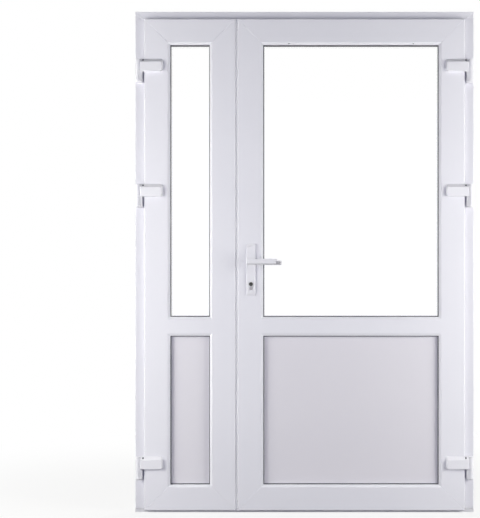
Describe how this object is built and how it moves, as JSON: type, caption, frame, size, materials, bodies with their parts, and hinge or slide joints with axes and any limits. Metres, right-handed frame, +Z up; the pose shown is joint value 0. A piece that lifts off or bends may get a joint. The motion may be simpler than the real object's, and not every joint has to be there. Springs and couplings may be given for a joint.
{
  "type": "pvc double door",
  "caption": "White PVC double door with a narrow and a wide hinged leaf, glazed above a middle rail and panelled below, in a frame with flag hinges and a lever handle.",
  "frame": {"origin": "on the threshold's underside, at the middle of the frame's width and depth", "axes": "+X to the right seen from the hinge side, +Y away from that side through the doorway, +Z up"},
  "size_m": [1.4, 0.188, 2.07],
  "materials": {
    "pvc_white": "satin extruded",
    "panel_white": "fine matt",
    "hinge_white": "satin coated",
    "handle_white": "satin coated",
    "threshold_white": "satin coated",
    "glass": "clear",
    "spacer_metal": "mill",
    "rubber_black": "matt",
    "rubber_grey": "matt",
    "steel": "zinc plated",
    "nickel": "nickel plated"
  },
  "bodies": {
    "frame": {"left_jamb": "pvc_white", "right_jamb": "pvc_white", "head": "pvc_white", "threshold": "threshold_white", "frame_seals": "rubber_black", "left_frame_hinges": "hinge_white", "right_frame_hinges": "hinge_white"},
    "left_leaf": {"left_hinge_stile": "pvc_white", "left_meeting_stile": "pvc_white", "left_top_rail": "pvc_white", "left_mid_rail": "pvc_white", "left_bottom_rail": "pvc_white", "left_glass": "glass", "left_spacer": "spacer_metal", "left_panel": "panel_white", "left_gaskets": "rubber_black", "left_beads": "pvc_white", "left_leaf_seal": "rubber_black", "left_leaf_hinges": "hinge_white", "astragal": "pvc_white", "meeting_seal": "rubber_grey", "keep_plate": "steel"},
    "right_leaf": {"right_hinge_stile": "pvc_white", "right_meeting_stile": "pvc_white", "right_top_rail": "pvc_white", "right_mid_rail": "pvc_white", "right_bottom_rail": "pvc_white", "right_glass": "glass", "right_spacer": "spacer_metal", "right_panel": "panel_white", "right_gaskets": "rubber_black", "right_beads": "pvc_white", "right_leaf_seal": "rubber_black", "right_leaf_hinges": "hinge_white", "lock_edge": "pvc_white", "lock_strip": "steel", "lock_bolts": "steel", "lock_cylinder": "nickel", "front_handle_plate": "handle_white", "rear_handle_plate": "handle_white"},
    "lever": {"front_lever": "handle_white", "rear_lever": "handle_white", "spindle": "steel"}
  },
  "joints": [
    {"name": "left_leaf_swing", "type": "hinge", "parent": "frame", "child": "left_leaf", "pos_m": [-0.6855, -0.0585, 1], "axis": [0, 0, -1], "range_deg": [0, 110]},
    {"name": "right_leaf_swing", "type": "hinge", "parent": "frame", "child": "right_leaf", "pos_m": [0.6855, -0.0585, 1], "axis": [0, 0, 1], "range_deg": [0, 110]},
    {"name": "lever_turn", "type": "hinge", "parent": "right_leaf", "child": "lever", "pos_m": [-0.22025, -0.022, 1.035], "axis": [0, 1, 0], "range_deg": [0, 45], "stiffness_Nm_per_rad": 1, "springref_deg": -57.3}
  ]
}
